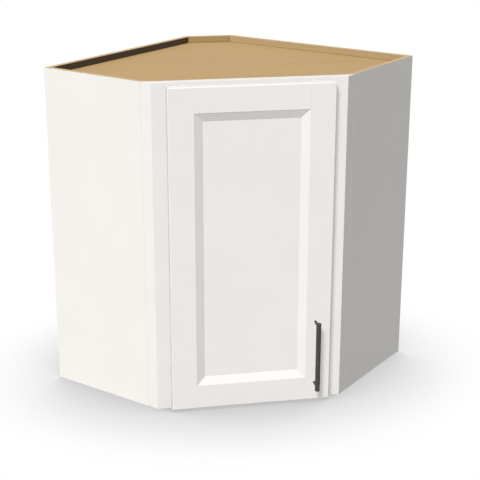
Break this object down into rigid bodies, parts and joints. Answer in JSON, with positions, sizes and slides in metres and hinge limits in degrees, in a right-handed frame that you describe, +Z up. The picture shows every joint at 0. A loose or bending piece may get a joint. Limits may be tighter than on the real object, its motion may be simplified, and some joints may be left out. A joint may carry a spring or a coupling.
{
  "type": "corner wall cabinet",
  "caption": "Diagonal corner wall cabinet with one recessed-panel door on cup hinges, a bar pull and loose shelves on clips.",
  "frame": {"origin": "under the centre of the bounding box, on the plane of the lower edges", "axes": "+Z up, the door faces -Y, +X to the right of someone facing the door; the room corner lies towards +Y"},
  "size_m": [0.8622, 0.6514, 0.762],
  "materials": {
    "painted_front": "satin white paint on hardwood",
    "painted_side": "satin white faced plywood",
    "plywood": "clear finished birch plywood",
    "shelf_board": "clear finished plywood board",
    "dark_pull": "satin dark bronze",
    "nickel": "nickel plated steel",
    "steel_screw": "zinc plated steel",
    "bumper": "soft translucent pad"
  },
  "bodies": {
    "case": {"bottom_panel": "plywood", "corner_back_panel": "plywood", "frame_bottom_rail": "painted_front", "frame_left_stile": "painted_front", "frame_right_stile": "painted_front", "frame_top_rail": "painted_front", "left_back_panel": "plywood", "left_side_panel": "painted_side", "lower_arm_screw": "steel_screw", "lower_hinge_arm": "nickel", "lower_hinge_plate": "nickel", "lower_plate_screw_lower": "steel_screw", "lower_plate_screw_upper": "steel_screw", "right_back_panel": "plywood", "right_side_panel": "painted_side", "shelf_lower": "shelf_board", "shelf_lower_clip_left_back": "nickel", "shelf_lower_clip_left_front": "nickel", "shelf_lower_clip_left_rear": "nickel", "shelf_lower_clip_right_back": "nickel", "shelf_lower_clip_right_front": "nickel", "shelf_lower_clip_right_rear": "nickel", "shelf_upper": "shelf_board", "shelf_upper_clip_left_back": "nickel", "shelf_upper_clip_left_front": "nickel", "shelf_upper_clip_left_rear": "nickel", "shelf_upper_clip_right_back": "nickel", "shelf_upper_clip_right_front": "nickel", "shelf_upper_clip_right_rear": "nickel", "top_panel": "plywood", "upper_arm_screw": "steel_screw", "upper_hinge_arm": "nickel", "upper_hinge_plate": "nickel", "upper_plate_screw_lower": "steel_screw", "upper_plate_screw_upper": "steel_screw"},
    "door": {"door_bottom_rail": "painted_front", "door_bumper_lower": "bumper", "door_bumper_upper": "bumper", "door_left_stile": "painted_front", "door_panel": "painted_front", "door_right_stile": "painted_front", "door_top_rail": "painted_front", "lower_cup_screw_lower": "steel_screw", "lower_cup_screw_upper": "steel_screw", "lower_hinge_cup": "nickel", "lower_hinge_pin": "steel_screw", "pull_bar": "dark_pull", "pull_post_lower": "dark_pull", "pull_post_upper": "dark_pull", "pull_screw_lower": "steel_screw", "pull_screw_upper": "steel_screw", "upper_cup_screw_lower": "steel_screw", "upper_cup_screw_upper": "steel_screw", "upper_hinge_cup": "nickel", "upper_hinge_pin": "steel_screw"}
  },
  "joints": [
    {"name": "door_swing", "type": "hinge", "parent": "case", "child": "door", "pos_m": [-0.17765, -0.27305, 0.381], "axis": [0, 0, -1], "range_deg": [0, 105]}
  ]
}
